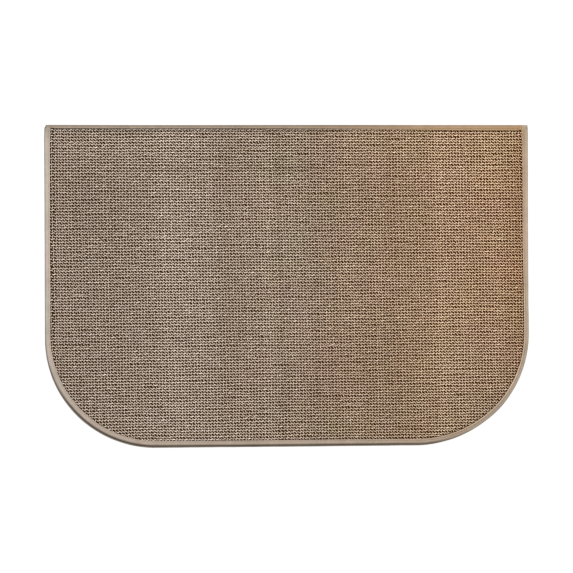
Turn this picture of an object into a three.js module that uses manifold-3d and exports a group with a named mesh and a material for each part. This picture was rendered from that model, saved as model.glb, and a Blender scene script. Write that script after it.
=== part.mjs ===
// Doormat, 30 x 20 in (762 x 508 mm): a flat-woven panel of thick yarn, bound
// with fabric tape folded over its edge. One long side is straight (+Y) and the
// other has two large rounded corners (-Y).
//
// Units are millimetres, +Z is up. The origin is the middle of the bounding box
// in X and Y, at the underside. The mat lies flat, as it is used.
//
// Pieces:
//   woven_panel   the cloth: full thickness inside the tape, and a pressed rim
//                 that runs on inside the folded tape
//   edge_binding  tape over the left side, the two round corners, the front edge
//                 and the right side
//   back_binding  narrower tape over the straight edge

import * as THREE from 'three';
import { mergeVertices } from 'three/addons/utils/BufferGeometryUtils.js';
import Module from 'manifold-3d';

// ---------------------------------------------------------------- dimensions

const CLOTH_T = 4.8;          // woven panel, to the crests of its yarns
const EDGE_H = 6.4;           // over the folded tape
const TAPE_T = 1.3;           // leg of tape under the panel, turned twice
const TAPE_CAVITY_Z = 4.8;    // underside of the tape's upper leg
const TAPE_WALL = 1.75;       // tape round the edge, measured in from the outline
const SLOT_CHAMFER = 0.15;    // inside the fold, small enough to clear the cloth
const GAP = 0.36;             // between one piece and the next
const TAPE_MID_Z = 3.0;       // height of the widest point of the rounded edge
const TAPE_NOMINAL = 9.0;     // width that the section below is drawn for

// The two ends of the straight edge: the strip is slanted off at the left, along
// x and y from the corner, and nearly square at the right.
const BACK_LEFT_CUT = { x: 2.5, y: 5.2 };
const BACK_RIGHT_R = 1.6;

const SIDE_STEP = 24;         // spacing of the stations along straight runs
const ARC_STEP = 5;           // degrees between the stations round a big corner

// The outline as it lies, a little uneven. tape is the width of tape that shows
// from above. Rows run along each side, and the values between are eased.
const LEFT_SIDE = [
  { y: 254, x: -380.5, tape: 9.3 },
  { y: 229, x: -381.0, tape: 9.3 },
  { y: 120, x: -380.4, tape: 8.7 },
  { y: 10, x: -380.0, tape: 8.7 },
  { y: -83, x: -379.7, tape: 8.9 },
];
const FRONT_LEFT = { x: -208, y: -83 };
const FRONT_LEFT_CORNER = [
  { angle: 180, radius: 171.7, tape: 8.9 },
  { angle: 200, radius: 171.5, tape: 10.6 },
  { angle: 220, radius: 171.0, tape: 11.3 },
  { angle: 245, radius: 170.5, tape: 10.7 },
  { angle: 270, radius: 171.0, tape: 10.8 },
];
const FRONT_EDGE = [
  { x: -208, y: -254.0, tape: 10.8 },
  { x: -100, y: -253.0, tape: 10.4 },
  { x: 20, y: -252.0, tape: 10.7 },
  { x: 120, y: -250.9, tape: 10.8 },
  { x: 204, y: -250.1, tape: 10.7 },
];
const FRONT_RIGHT = { x: 204, y: -74 };
const FRONT_RIGHT_CORNER = [
  { angle: 270, radius: 176.1, tape: 10.7 },
  { angle: 288, radius: 175.2, tape: 9.2 },
  { angle: 304, radius: 175.1, tape: 7.9 },
  { angle: 320, radius: 176.4, tape: 7.7 },
  { angle: 340, radius: 176.7, tape: 7.2 },
  { angle: 360, radius: 177.0, tape: 7.2 },
];
const RIGHT_SIDE = [
  { y: -74, x: 381.0, tape: 7.2 },
  { y: -10, x: 380.3, tape: 7.1 },
  { y: 60, x: 379.9, tape: 7.7 },
  { y: 160, x: 379.55, tape: 8.3 },
  { y: 238, x: 379.45, tape: 9.1 },
  { y: 254, x: 378.6, tape: 9.3 },
];
const BACK_EDGE = [
  { x: -381, y: 254.0, tape: 5.2 },
  { x: -200, y: 253.7, tape: 5.2 },
  { x: 60, y: 253.9, tape: 5.3 },
  { x: 170, y: 253.8, tape: 5.9 },
  { x: 260, y: 253.8, tape: 7.5 },
  { x: 381, y: 253.7, tape: 7.9 },
];

// Upper face of the tape, from the rounded edge inwards, for TAPE_NOMINAL:
// a low crown, the groove that the stitching pulls in, and the inner lip.
const TAPE_TOP = [
  { d: 4.2, z: EDGE_H },
  { d: 5.4, z: EDGE_H - 0.05 },
  { d: 6.5, z: EDGE_H - 0.45 },
  { d: 7.7, z: EDGE_H - 0.2 },
  { d: 8.6, z: EDGE_H - 0.35 },
  { d: 9.0, z: EDGE_H - 0.8 },
];

// -------------------------------------------------------------- the outline

// Eased value of a column between the rows of a table.
function along(table, key, column, at) {
  const rising = table[table.length - 1][key] > table[0][key];
  const rows = rising ? table : [...table].reverse();
  if (at <= rows[0][key]) return rows[0][column];
  for (let i = 1; i < rows.length; i++) {
    if (at <= rows[i][key]) {
      const u = (at - rows[i - 1][key]) / (rows[i][key] - rows[i - 1][key]);
      const e = u * u * (3 - 2 * u) * 0.5 + u * 0.5;
      return rows[i - 1][column] + (rows[i][column] - rows[i - 1][column]) * e;
    }
  }
  return rows[rows.length - 1][column];
}

function spaced(from, to, step) {
  const n = Math.max(1, Math.round(Math.abs(to - from) / step));
  return Array.from({ length: n + 1 }, (_, i) => from + ((to - from) * i) / n);
}

// Heights up a side: even steps from where its big corner ends, and the top.
function upSide(from, to) {
  const n = Math.floor((to - from - 2) / SIDE_STEP);
  return [...Array.from({ length: n + 1 }, (_, i) => from + i * SIDE_STEP), to];
}

// Stations { x, y, tape } down the left side, round the front and up the right
// side, between the heights that the two ends are cut at.
function uPath(leftTop, rightTop) {
  const path = [];
  const put = (x, y, tape) => path.push({ x, y, tape });
  for (const y of upSide(FRONT_LEFT.y, leftTop).reverse())
    put(along(LEFT_SIDE, 'y', 'x', y), y, along(LEFT_SIDE, 'y', 'tape', y));
  const corner = (centre, table) => {
    const first = table[0].angle;
    const last = table[table.length - 1].angle;
    for (const a of spaced(first, last, ARC_STEP).slice(1)) {
      const r = along(table, 'angle', 'radius', a);
      const t = THREE.MathUtils.degToRad(a);
      put(centre.x + r * Math.cos(t), centre.y + r * Math.sin(t), along(table, 'angle', 'tape', a));
    }
  };
  corner(FRONT_LEFT, FRONT_LEFT_CORNER);
  for (const x of spaced(FRONT_LEFT.x, FRONT_RIGHT.x, SIDE_STEP).slice(1))
    put(x, along(FRONT_EDGE, 'x', 'y', x), along(FRONT_EDGE, 'x', 'tape', x));
  corner(FRONT_RIGHT, FRONT_RIGHT_CORNER);
  for (const y of upSide(FRONT_RIGHT.y, rightTop).slice(1))
    put(along(RIGHT_SIDE, 'y', 'x', y), y, along(RIGHT_SIDE, 'y', 'tape', y));
  // inward normals; the path runs anticlockwise, so inwards is to its left
  path.forEach((p, i) => {
    const a = path[Math.max(0, i - 1)];
    const b = path[Math.min(path.length - 1, i + 1)];
    const l = Math.hypot(b.x - a.x, b.y - a.y);
    p.nx = -(b.y - a.y) / l;
    p.ny = (b.x - a.x) / l;
  });
  Object.assign(path[0], { nx: 1, ny: 0 });
  Object.assign(path[path.length - 1], { nx: -1, ny: 0 });
  return path;
}

// Stations along the straight edge, right to left.
function backPath(fromX, toX) {
  return spaced(fromX, toX, SIDE_STEP * 1.5).map((x) => ({
    x,
    y: along(BACK_EDGE, 'x', 'y', x),
    tape: along(BACK_EDGE, 'x', 'tape', x),
  }));
}

// The slanted corner at a distance inside the outline, measured from where the
// two sides meet when they are moved in by as much.
function cutAt(inset) {
  const { x, y } = BACK_LEFT_CUT;
  const share = Math.max(0, 1 + (inset * (Math.hypot(x, y) - x - y)) / (x * y));
  return { x: x * share, y: y * share };
}

// Closed polygon at a set distance inside the outline. inset is a number, or a
// function of a station, and cut and rightR shape its two back corners.
function insetPolygon(inset, cut, rightR) {
  const at = typeof inset === 'function' ? inset : () => inset;
  const leftX = along(LEFT_SIDE, 'y', 'x', 250) + at({ tape: along(LEFT_SIDE, 'y', 'tape', 250) });
  const rightX = along(RIGHT_SIDE, 'y', 'x', 250) - at({ tape: along(RIGHT_SIDE, 'y', 'tape', 250) });
  const backY = (x) => along(BACK_EDGE, 'x', 'y', x) - at({ tape: along(BACK_EDGE, 'x', 'tape', x) });
  const points = uPath(backY(leftX) - cut.y, backY(rightX) - rightR).map((p) => {
    const d = at(p);
    return new THREE.Vector2(p.x + p.nx * d, p.y + p.ny * d);
  });
  const soften = (before, vertex, after) => {
    const a = before.clone().sub(vertex).setLength(0.8).add(vertex);
    const b = after.clone().sub(vertex).setLength(0.8).add(vertex);
    return [a, a.clone().add(b).addScaledVector(vertex, 2).divideScalar(4), b];
  };
  const rx = points.pop().x;
  const lower = points.shift();
  const lx = lower.x;
  if (rightR > 0.5)
    for (const a of spaced(0, 90, 15)) {
      const t = THREE.MathUtils.degToRad(a);
      points.push(new THREE.Vector2(rx - rightR * (1 - Math.cos(t)), backY(rx) - rightR * (1 - Math.sin(t))));
    }
  else points.push(new THREE.Vector2(rx, backY(rx)));
  for (const p of backPath(rx - rightR, lx + cut.x).slice(1, -1)) points.push(new THREE.Vector2(p.x, backY(p.x)));
  const upper = new THREE.Vector2(lx + cut.x, backY(lx));
  if (cut.x > 0.5) {
    points.push(...soften(points[points.length - 1], upper, lower));
    points.push(...soften(upper, lower, points[0]));
  } else points.push(upper);
  return points;
}

// ------------------------------------------------------------------- solids

const wasm = await Module();
wasm.setup();

function toManifold(geometry) {
  const g = geometry.clone();
  for (const name of Object.keys(g.attributes)) if (name !== 'position') g.deleteAttribute(name);
  const m = mergeVertices(g, 1e-4);
  return new wasm.Manifold(new wasm.Mesh({
    numProp: 3,
    vertProperties: new Float32Array(m.attributes.position.array),
    triVerts: new Uint32Array(m.index.array),
  }));
}

function toGeometry(solid) {
  const mesh = solid.getMesh();
  const g = new THREE.BufferGeometry();
  g.setAttribute('position', new THREE.BufferAttribute(new Float32Array(mesh.vertProperties), 3));
  g.setIndex(new THREE.BufferAttribute(new Uint32Array(mesh.triVerts), 1));
  g.computeVertexNormals();
  return g;
}

// Flat slab between two heights on a polygon.
function slab(points, z0, z1) {
  const g = new THREE.ExtrudeGeometry(new THREE.Shape(points), { depth: z1 - z0, bevelEnabled: false });
  g.translate(0, 0, z0);
  return toManifold(g);
}

// Closed mesh through a row of stations, with flat ends. Each station gives its
// section as { d, z } and a function that places a point of it.
function loft(stations) {
  const m = stations[0].section.length;
  const positions = stations.flatMap((s) => s.section.flatMap(({ d, z }) => s.place(d, z)));
  const index = [];
  for (let s = 0; s + 1 < stations.length; s++)
    for (let k = 0; k < m; k++) {
      const a = s * m + k;
      const b = s * m + ((k + 1) % m);
      index.push(a, b + m, b, a, a + m, b + m);
    }
  const cap = (s, forward) => {
    const flat = stations[s].section.map(({ d, z }) => new THREE.Vector2(d, z));
    const way = Math.sign(THREE.ShapeUtils.area(flat));
    for (const face of THREE.ShapeUtils.triangulateShape(flat, [])) {
      const same = Math.sign(THREE.ShapeUtils.area(face.map((i) => flat[i]))) === way;
      const [i, j, k] = same === forward ? face : [face[0], face[2], face[1]];
      index.push(s * m + i, s * m + j, s * m + k);
    }
  };
  cap(0, true);
  cap(stations.length - 1, false);
  const g = new THREE.BufferGeometry();
  g.setAttribute('position', new THREE.Float32BufferAttribute(positions, 3));
  g.setIndex(index);
  return g;
}

// Outer line of the tape's section as { d, z }: d is the distance in from the
// outline. It starts at the inner end of the lower leg, goes out under the
// edge, round it, and back in over the top.
function tapeOuter(width) {
  const k = width / TAPE_NOMINAL;
  const line = [{ d: width, z: 0 }];
  const low = 2.4 * k;
  const high = TAPE_TOP[0].d * k;
  for (const a of [0, 30, 60]) {
    const t = THREE.MathUtils.degToRad(a);
    line.push({ d: low * (1 - Math.sin(t)), z: TAPE_MID_Z * (1 - Math.cos(t)) });
  }
  for (const a of [0, 22, 45, 68]) {
    const t = THREE.MathUtils.degToRad(a);
    line.push({ d: high * (1 - Math.cos(t)), z: TAPE_MID_Z + (EDGE_H - TAPE_MID_Z) * Math.sin(t) });
  }
  for (const row of TAPE_TOP) line.push({ d: row.d * k, z: row.z });
  return line;
}

// Tape folded over the edge: outer line and the slot that holds the cloth.
function foldedSection(width) {
  return [
    ...tapeOuter(width),
    { d: width, z: TAPE_CAVITY_Z },
    { d: TAPE_WALL + SLOT_CHAMFER, z: TAPE_CAVITY_Z },
    { d: TAPE_WALL, z: TAPE_CAVITY_Z - SLOT_CHAMFER },
    { d: TAPE_WALL, z: TAPE_T + SLOT_CHAMFER },
    { d: TAPE_WALL + SLOT_CHAMFER, z: TAPE_T },
    { d: width, z: TAPE_T },
  ];
}

// Woven panel: the pressed rim runs on into the tape all round.
const rimInset = TAPE_WALL + GAP;
const rim = slab(
  insetPolygon(rimInset, cutAt(rimInset), 0),
  TAPE_T + GAP,
  TAPE_CAVITY_Z - GAP,
);
const core = slab(insetPolygon((p) => p.tape + GAP, { x: 0, y: 0 }, 0), 0, CLOTH_T);
const panelGeometry = toGeometry(core.add(rim));

// Side and front tape: its two ends stop just short of the back strip.
const leftEnd = 254 - BACK_EDGE[0].tape - GAP;
const rightEnd = 253.7 - BACK_EDGE[BACK_EDGE.length - 1].tape - GAP;
const edgeStations = uPath(leftEnd, rightEnd).map((p) => ({
  section: foldedSection(p.tape),
  place: (d, z) => [p.x + p.nx * d, p.y + p.ny * d, z],
}));
const edgeGeometry = toGeometry(toManifold(loft(edgeStations)));

// Back tape: a filled strip along the straight edge, trimmed to the mat's
// corners, with the slot for the cloth cut into it.
const backStations = backPath(386, -386).map((p) => ({
  section: [...tapeOuter(p.tape), { d: p.tape, z: TAPE_CAVITY_Z }],
  place: (d, z) => [p.x, p.y - d, z],
}));
const backStrip = toManifold(loft(backStations))
  .intersect(slab(insetPolygon(0, cutAt(0), BACK_RIGHT_R), -1, EDGE_H + 1))
  .subtract(slab(insetPolygon(TAPE_WALL, cutAt(TAPE_WALL), 0), TAPE_T, TAPE_CAVITY_Z));
const backGeometry = toGeometry(backStrip);

// -------------------------------------------------------------------- model

const yarn = new THREE.MeshStandardMaterial({ color: 0x9a8672, roughness: 0.95, metalness: 0 });
const tape = new THREE.MeshStandardMaterial({ color: 0xbdad97, roughness: 0.85, metalness: 0 });
const backTape = new THREE.MeshStandardMaterial({ color: 0xa48f78, roughness: 0.85, metalness: 0 });

const doormat = new THREE.Group();
for (const [name, geometry, material] of [
  ['woven_panel', panelGeometry, yarn],
  ['edge_binding', edgeGeometry, tape],
  ['back_binding', backGeometry, backTape],
]) {
  const mesh = new THREE.Mesh(geometry, material);
  mesh.name = name;
  doormat.add(mesh);
}

// The uneven outline is set about the middle of its own bounding box.
const middle = new THREE.Box3().setFromObject(doormat).getCenter(new THREE.Vector3());
for (const mesh of doormat.children) mesh.geometry.translate(-middle.x, -middle.y, 0);

export default doormat;
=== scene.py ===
# The looks of a flat-woven doormat, 762 x 508 mm, bound all round with tape.
# Its yarns, tape and stitches are made here as meshes, in metres, in the frame
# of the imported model: +X along the mat, +Y towards the straight long side, +Z up.

import math

import bpy
import numpy as np
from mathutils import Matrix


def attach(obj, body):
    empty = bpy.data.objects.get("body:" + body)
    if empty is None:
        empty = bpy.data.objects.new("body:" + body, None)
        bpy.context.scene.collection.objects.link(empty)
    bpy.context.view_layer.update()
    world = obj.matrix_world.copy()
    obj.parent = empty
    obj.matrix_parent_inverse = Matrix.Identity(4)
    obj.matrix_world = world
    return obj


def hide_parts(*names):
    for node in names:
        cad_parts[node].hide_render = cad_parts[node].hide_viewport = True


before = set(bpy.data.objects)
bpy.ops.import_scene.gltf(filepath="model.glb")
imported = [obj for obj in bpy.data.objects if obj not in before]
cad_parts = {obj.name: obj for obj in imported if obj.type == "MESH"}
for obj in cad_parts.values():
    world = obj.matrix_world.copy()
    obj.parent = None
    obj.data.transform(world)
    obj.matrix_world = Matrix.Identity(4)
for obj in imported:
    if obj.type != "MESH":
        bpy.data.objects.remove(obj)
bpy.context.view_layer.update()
MM = 0.001
rng = np.random.default_rng(7620508)

# ------------------------------------------------------------------- camera
# Straight above the mat, far enough away that nothing leans. At this distance
# the frame is 900.24 mm across, so that the mat fills 485 of 573 pixels.

CAMERA_LENS, SENSOR, FIELD = 120.0, 36.0, 0.90024
camera = bpy.data.objects.new("camera", bpy.data.cameras.new("camera"))
camera.data.lens, camera.data.sensor_width = CAMERA_LENS, SENSOR
camera.location = (0.0, -0.00027, FIELD * CAMERA_LENS / SENSOR + 0.0035)
camera.data.clip_end = 50
bpy.context.scene.collection.objects.link(camera)
bpy.context.scene.camera = camera

# ------------------------------------------------- the outline, as in the CAD
# Millimetres, about 0.25 further in than the CAD along the back, front and right,
# as the fold is soft. tape is the width of tape that shows from above.

LEFT_SIDE = np.array([  # y, x, tape
    (-83, -379.7, 8.9), (10, -380.0, 8.7), (120, -380.4, 8.7), (229, -381.0, 9.3), (254, -380.5, 9.3)])
RIGHT_SIDE = np.array([  # y, x, tape
    (-74, 380.78, 7.1), (-10, 380.08, 7.1), (60, 379.68, 7.7), (160, 379.35, 8.3), (238, 379.25, 9.1), (254, 378.4, 9.3)])
FRONT_EDGE = np.array([  # x, y, tape
    (-208, -253.84, 10.7), (-100, -252.86, 10.3), (20, -251.88, 10.6), (120, -250.78, 10.7), (204, -249.94, 10.6)])
BACK_EDGE = np.array([  # x, y, tape
    (-381, 253.75, 5.2), (-200, 253.45, 5.2), (60, 253.65, 5.3), (170, 253.55, 5.9), (260, 253.55, 7.4), (381, 253.45, 7.8)])
LEFT_CENTRE, RIGHT_CENTRE = (-208.0, -83.0), (204.0, -74.0)
LEFT_CORNER = np.array([  # angle, radius, tape
    (180, 171.7, 8.9), (200, 171.52, 10.6), (220, 171.02, 11.1), (245, 170.5, 10.6), (270, 170.84, 10.7)])
RIGHT_CORNER = np.array([  # angle, radius, tape
    (270, 175.94, 10.6), (288, 175.16, 8.8), (304, 175.04, 7.4), (320, 176.32, 7.2), (340, 176.6, 6.9), (360, 176.78, 7.1)])
BACK_LEFT_CUT, BACK_RIGHT_R = (2.5, 5.2), 1.6  # the slanted and the nearly square end of the back tape
EDGE_H, TAPE_MID_Z, TAPE_T, TAPE_CAVITY_Z, TAPE_WALL = 6.4, 3.0, 1.3, 4.8, 1.75
LEFT_TOP, RIGHT_TOP = 249.3, 246.5  # where the side tape runs in under the back tape


def along(rows, at, column):
    """Eased value of a column between the rows of a table."""
    key, value = rows[:, 0], rows[:, column]
    at = np.clip(at, key[0], key[-1])
    i = np.clip(np.searchsorted(key, at, side="right") - 1, 0, len(key) - 2)
    u = (at - key[i]) / (key[i + 1] - key[i])
    return value[i] + (value[i + 1] - value[i]) * (0.5 * u * u * (3 - 2 * u) + 0.5 * u)


def smooth(low, high, x):
    u = np.clip((x - low) / (high - low), 0, 1)
    return u * u * (3 - 2 * u)


def depth(x, y):
    """(distance in from the outline, distance in from the inner edge of the tape)."""
    x, y = np.broadcast_arrays(np.asarray(x, float), np.asarray(y, float))
    far = np.full(x.shape, 1e3)
    edges = []
    d = x - along(LEFT_SIDE, y, 1)
    edges.append((np.where(y >= LEFT_CENTRE[1], d, far), along(LEFT_SIDE, y, 2)))
    d = along(RIGHT_SIDE, y, 1) - x
    edges.append((np.where(y >= RIGHT_CENTRE[1], d, far), along(RIGHT_SIDE, y, 2)))
    d = y - along(FRONT_EDGE, x, 1)
    inside = (x >= LEFT_CENTRE[0]) & (x <= RIGHT_CENTRE[0])
    edges.append((np.where(inside, d, far), along(FRONT_EDGE, x, 2)))
    edges.append((along(BACK_EDGE, x, 1) - y, along(BACK_EDGE, x, 2)))
    for (cx, cy), rows, here in (
        (LEFT_CENTRE, LEFT_CORNER, (x < LEFT_CENTRE[0]) & (y < LEFT_CENTRE[1])),
        (RIGHT_CENTRE, RIGHT_CORNER, (x > RIGHT_CENTRE[0]) & (y < RIGHT_CENTRE[1])),
    ):
        angle = np.degrees(np.arctan2(y - cy, x - cx)) % 360
        d = along(rows, angle, 1) - np.hypot(x - cx, y - cy)
        edges.append((np.where(here, d, far), along(rows, angle, 2)))
    out = np.min([d for d, _ in edges], axis=0)
    return out, np.min([d - t for d, t in edges], axis=0)


def wander(lines, at, step, n=1.0):
    """A smooth random line for each of several yarns, at the same places along each."""
    at = np.asarray(at, float)
    knots = rng.standard_normal((lines, int(np.ptp(at) / step) + 4)) * n
    f = (at - at.min()) / step
    i = np.floor(f).astype(int)
    u = f - i
    e = u * u * (3 - 2 * u)
    return knots[:, i] * (1 - e) + knots[:, i + 1] * e


def patches(x, y, size, turn=0.3):
    """Smooth random patches over the mat, of about the given size."""
    c, s = math.cos(turn), math.sin(turn)
    a, b = (c * x - s * y + 700) / size, (s * x + c * y + 700) / size
    n = int(1400 / size) + 3
    knots = rng.standard_normal((n, n))
    i, j = np.floor(a).astype(int), np.floor(b).astype(int)
    u, v = a - i, b - j
    u, v = u * u * (3 - 2 * u), v * v * (3 - 2 * v)
    return (knots[i, j] * (1 - u) + knots[i + 1, j] * u) * (1 - v) + (knots[i, j + 1] * (1 - u) + knots[i + 1, j + 1] * u) * v


def linear(r, g, b):
    c = np.array([r, g, b], float) / 255
    return np.where(c <= 0.04045, c / 12.92, ((c + 0.055) / 1.055) ** 2.4)


# ---------------------------------------------------------------- materials

EXPOSURE = 1.30  # what a flat white card gives back in this light
TONE = np.array([1.0, 1.11, 1.23])  # yarn is browner where it is darker and paler where it is lighter


def toned(value):
    return tuple(float(v) for v in value**TONE)


def material(name):
    m = bpy.data.materials.new(name)
    m.use_nodes = True
    nt = m.node_tree
    shader = nt.nodes["Principled BSDF"]
    return m, nt, shader


def node(nt, kind, **values):
    n = nt.nodes.new(kind)
    for key, value in values.items():
        if key in n.inputs:
            n.inputs[key].default_value = value
        else:
            setattr(n, key, value)
    return n


def mixed(nt, kind, factor, a, b):
    """A colour mix node. a, b and factor are sockets or values."""
    n = nt.nodes.new("ShaderNodeMix")
    n.data_type, n.blend_type = "RGBA", kind
    for socket, value in ((n.inputs[0], factor), (n.inputs[6], a), (n.inputs[7], b)):
        if isinstance(value, bpy.types.NodeSocket):
            nt.links.new(value, socket)
        else:
            socket.default_value = value
    return n.outputs[2]


def ramp(nt, value, *stops):
    n = nt.nodes.new("ShaderNodeValToRGB")
    while len(n.color_ramp.elements) < len(stops):
        n.color_ramp.elements.new(0.5)
    for e, (at, grey) in zip(n.color_ramp.elements, stops):
        e.position = at
        e.color = (grey, grey, grey, 1) if isinstance(grey, (int, float)) else (*grey, 1)
    nt.links.new(value, n.inputs[0])
    return n.outputs[0]


def maths(nt, operation, a, b=0.0):
    n = nt.nodes.new("ShaderNodeMath")
    n.operation = operation
    for socket, value in zip(n.inputs, (a, b)):
        if isinstance(value, bpy.types.NodeSocket):
            nt.links.new(value, socket)
        else:
            socket.default_value = value
    return n.outputs[0]


def yarn_material(name, roughness, plies):
    """Spun yarn: the tint of each vertex, fibres, and plies that wind round the yarn.
    The map named lay holds millimetres along the yarn and turns round it."""
    m, nt, shader = material(name)
    tint = node(nt, "ShaderNodeAttribute", attribute_name="tint")
    lay = node(nt, "ShaderNodeUVMap", uv_map="lay")
    parts = node(nt, "ShaderNodeSeparateXYZ")
    nt.links.new(lay.outputs[0], parts.inputs[0])
    # plies: two strands wound round each other, a turn in plies millimetres
    turn = maths(nt, "ADD", maths(nt, "MULTIPLY", parts.outputs[0], 1 / plies), maths(nt, "MULTIPLY", parts.outputs[1], 1.0))
    wave = maths(nt, "SINE", maths(nt, "MULTIPLY", turn, 4 * math.pi))
    ply = maths(nt, "MULTIPLY_ADD", wave, 0.5)
    nt.nodes[-1].inputs[2].default_value = 0.5
    # fibres: fine noise, drawn out along the plies
    place = node(nt, "ShaderNodeTexCoord")
    fibre = node(nt, "ShaderNodeTexNoise", Scale=1400.0, Detail=3.0, Roughness=0.65)
    nt.links.new(place.outputs["Object"], fibre.inputs["Vector"])
    fleck = node(nt, "ShaderNodeTexNoise", Scale=420.0, Detail=2.0, Roughness=0.5)
    nt.links.new(place.outputs["Object"], fleck.inputs["Vector"])
    # painted shade in the grooves between the plies, a little lighter on their crowns
    shade = mixed(nt, "MULTIPLY", 1.0, tint.outputs["Color"], ramp(nt, ply, (0.0, toned(0.72)), (0.45, 1.0), (1.0, toned(1.06))))
    shade = mixed(nt, "MULTIPLY", 1.0, shade, ramp(nt, fibre.outputs[0], (0.3, toned(0.80)), (0.7, toned(1.14))))
    shade = mixed(nt, "MULTIPLY", 1.0, shade, ramp(nt, fleck.outputs[0], (0.3, toned(0.79)), (0.72, toned(1.17))))
    nt.links.new(shade, shader.inputs["Base Color"])
    height = maths(nt, "ADD", maths(nt, "MULTIPLY", ply, 0.7), maths(nt, "MULTIPLY", fibre.outputs[0], 0.6))
    bump = node(nt, "ShaderNodeBump", Strength=0.55, Distance=0.00035)
    nt.links.new(height, bump.inputs["Height"])
    nt.links.new(bump.outputs[0], shader.inputs["Normal"])
    rough = maths(nt, "MULTIPLY_ADD", fibre.outputs[0], 0.2)
    nt.nodes[-1].inputs[2].default_value = roughness - 0.1
    nt.links.new(rough, shader.inputs["Roughness"])
    shader.inputs["Specular IOR Level"].default_value = 0.02
    shader.inputs["Sheen Weight"].default_value = 0.02
    shader.inputs["Sheen Roughness"].default_value = 0.6
    return m


def tape_material(name, thread_mm, twill):
    """Woven tape: the tint of each vertex, and a close weave that runs along the
    tape. The map named lay holds millimetres along and across it."""
    m, nt, shader = material(name)
    tint = node(nt, "ShaderNodeAttribute", attribute_name="tint")
    lay = node(nt, "ShaderNodeUVMap", uv_map="lay")
    parts = node(nt, "ShaderNodeSeparateXYZ")
    nt.links.new(lay.outputs[0], parts.inputs[0])
    s, d = parts.outputs[0], parts.outputs[1]
    turn = 2 * math.pi / thread_mm
    weft = maths(nt, "SINE", maths(nt, "MULTIPLY", maths(nt, "ADD", s, maths(nt, "MULTIPLY", d, twill)), turn))
    warp = maths(nt, "SINE", maths(nt, "MULTIPLY", d, turn * 1.25))
    weave = maths(nt, "MULTIPLY_ADD", maths(nt, "MULTIPLY", weft, warp), 0.25)
    nt.nodes[-1].inputs[2].default_value = 0.5
    weave = maths(nt, "ADD", weave, maths(nt, "MULTIPLY", weft, 0.2))
    place = node(nt, "ShaderNodeTexCoord")
    fuzz = node(nt, "ShaderNodeTexNoise", Scale=900.0, Detail=3.0, Roughness=0.6)
    nt.links.new(place.outputs["Object"], fuzz.inputs["Vector"])
    stain = node(nt, "ShaderNodeTexNoise", Scale=55.0, Detail=3.0, Roughness=0.55)
    nt.links.new(place.outputs["Object"], stain.inputs["Vector"])
    # painted shade where the tape's threads lie low, lighter where they stand high
    shade = mixed(nt, "MULTIPLY", 1.0, tint.outputs["Color"], ramp(nt, weave, (0.1, 0.84), (0.55, 1.0), (0.95, 1.05)))
    shade = mixed(nt, "MULTIPLY", 1.0, shade, ramp(nt, fuzz.outputs[0], (0.3, 0.92), (0.7, 1.06)))
    shade = mixed(nt, "MULTIPLY", 1.0, shade, ramp(nt, stain.outputs[0], (0.3, 0.93), (0.7, 1.05)))
    # the tape's yarns aren't all of one colour: slanted blocks, a little rosy or olive
    slant = node(nt, "ShaderNodeCombineXYZ")
    nt.links.new(maths(nt, "ADD", maths(nt, "MULTIPLY", s, 0.16), maths(nt, "MULTIPLY", d, 0.16)), slant.inputs[0])
    nt.links.new(maths(nt, "SUBTRACT", maths(nt, "MULTIPLY", d, 0.40), maths(nt, "MULTIPLY", s, 0.40)), slant.inputs[1])
    block = node(nt, "ShaderNodeTexNoise", Scale=1.0, Detail=1.0, Roughness=0.5)
    nt.links.new(slant.outputs[0], block.inputs["Vector"])
    shade = mixed(nt, "MULTIPLY", 1.0, shade, ramp(nt, block.outputs[0], (0.34, (1.01, 0.96, 0.95)), (0.5, (1.0, 1.0, 1.0)), (0.66, (0.96, 1.0, 0.93))))
    nt.links.new(shade, shader.inputs["Base Color"])
    height = maths(nt, "ADD", maths(nt, "MULTIPLY", weave, 0.8), maths(nt, "MULTIPLY", fuzz.outputs[0], 0.4))
    bump = node(nt, "ShaderNodeBump", Strength=0.5, Distance=0.0002)
    nt.links.new(height, bump.inputs["Height"])
    nt.links.new(bump.outputs[0], shader.inputs["Normal"])
    rough = maths(nt, "MULTIPLY_ADD", fuzz.outputs[0], 0.2)
    nt.nodes[-1].inputs[2].default_value = 0.72
    nt.links.new(rough, shader.inputs["Roughness"])
    shader.inputs["Specular IOR Level"].default_value = 0.22
    shader.inputs["Sheen Weight"].default_value = 0.1
    shader.inputs["Sheen Roughness"].default_value = 0.5
    return m


def ground_material():
    """The dark lower yarns that show between the light ones, their dark partly painted shade."""
    m, nt, shader = material("ground_yarn")
    tint = node(nt, "ShaderNodeAttribute", attribute_name="tint")
    place = node(nt, "ShaderNodeTexCoord")
    mesh = node(nt, "ShaderNodeTexNoise", Scale=600.0, Detail=4.0, Roughness=0.6)
    nt.links.new(place.outputs["Object"], mesh.inputs["Vector"])
    shade = mixed(nt, "MULTIPLY", 1.0, tint.outputs["Color"], ramp(nt, mesh.outputs[0], (0.3, 0.6), (0.7, 1.3)))
    nt.links.new(shade, shader.inputs["Base Color"])
    bump = node(nt, "ShaderNodeBump", Strength=0.6, Distance=0.0004)
    nt.links.new(mesh.outputs[0], bump.inputs["Height"])
    nt.links.new(bump.outputs[0], shader.inputs["Normal"])
    shader.inputs["Roughness"].default_value = 0.95
    shader.inputs["Specular IOR Level"].default_value = 0.02
    return m


weft_yarn = yarn_material("weft_yarn", 0.92, 5.4)
warp_yarn = yarn_material("warp_yarn", 0.94, 4.6)
side_tape = tape_material("side_tape", 0.9, 0.6)
back_tape = tape_material("back_tape", 0.8, 0.0)
ground_yarn = ground_material()


# ------------------------------------------------------------------- meshes


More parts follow.
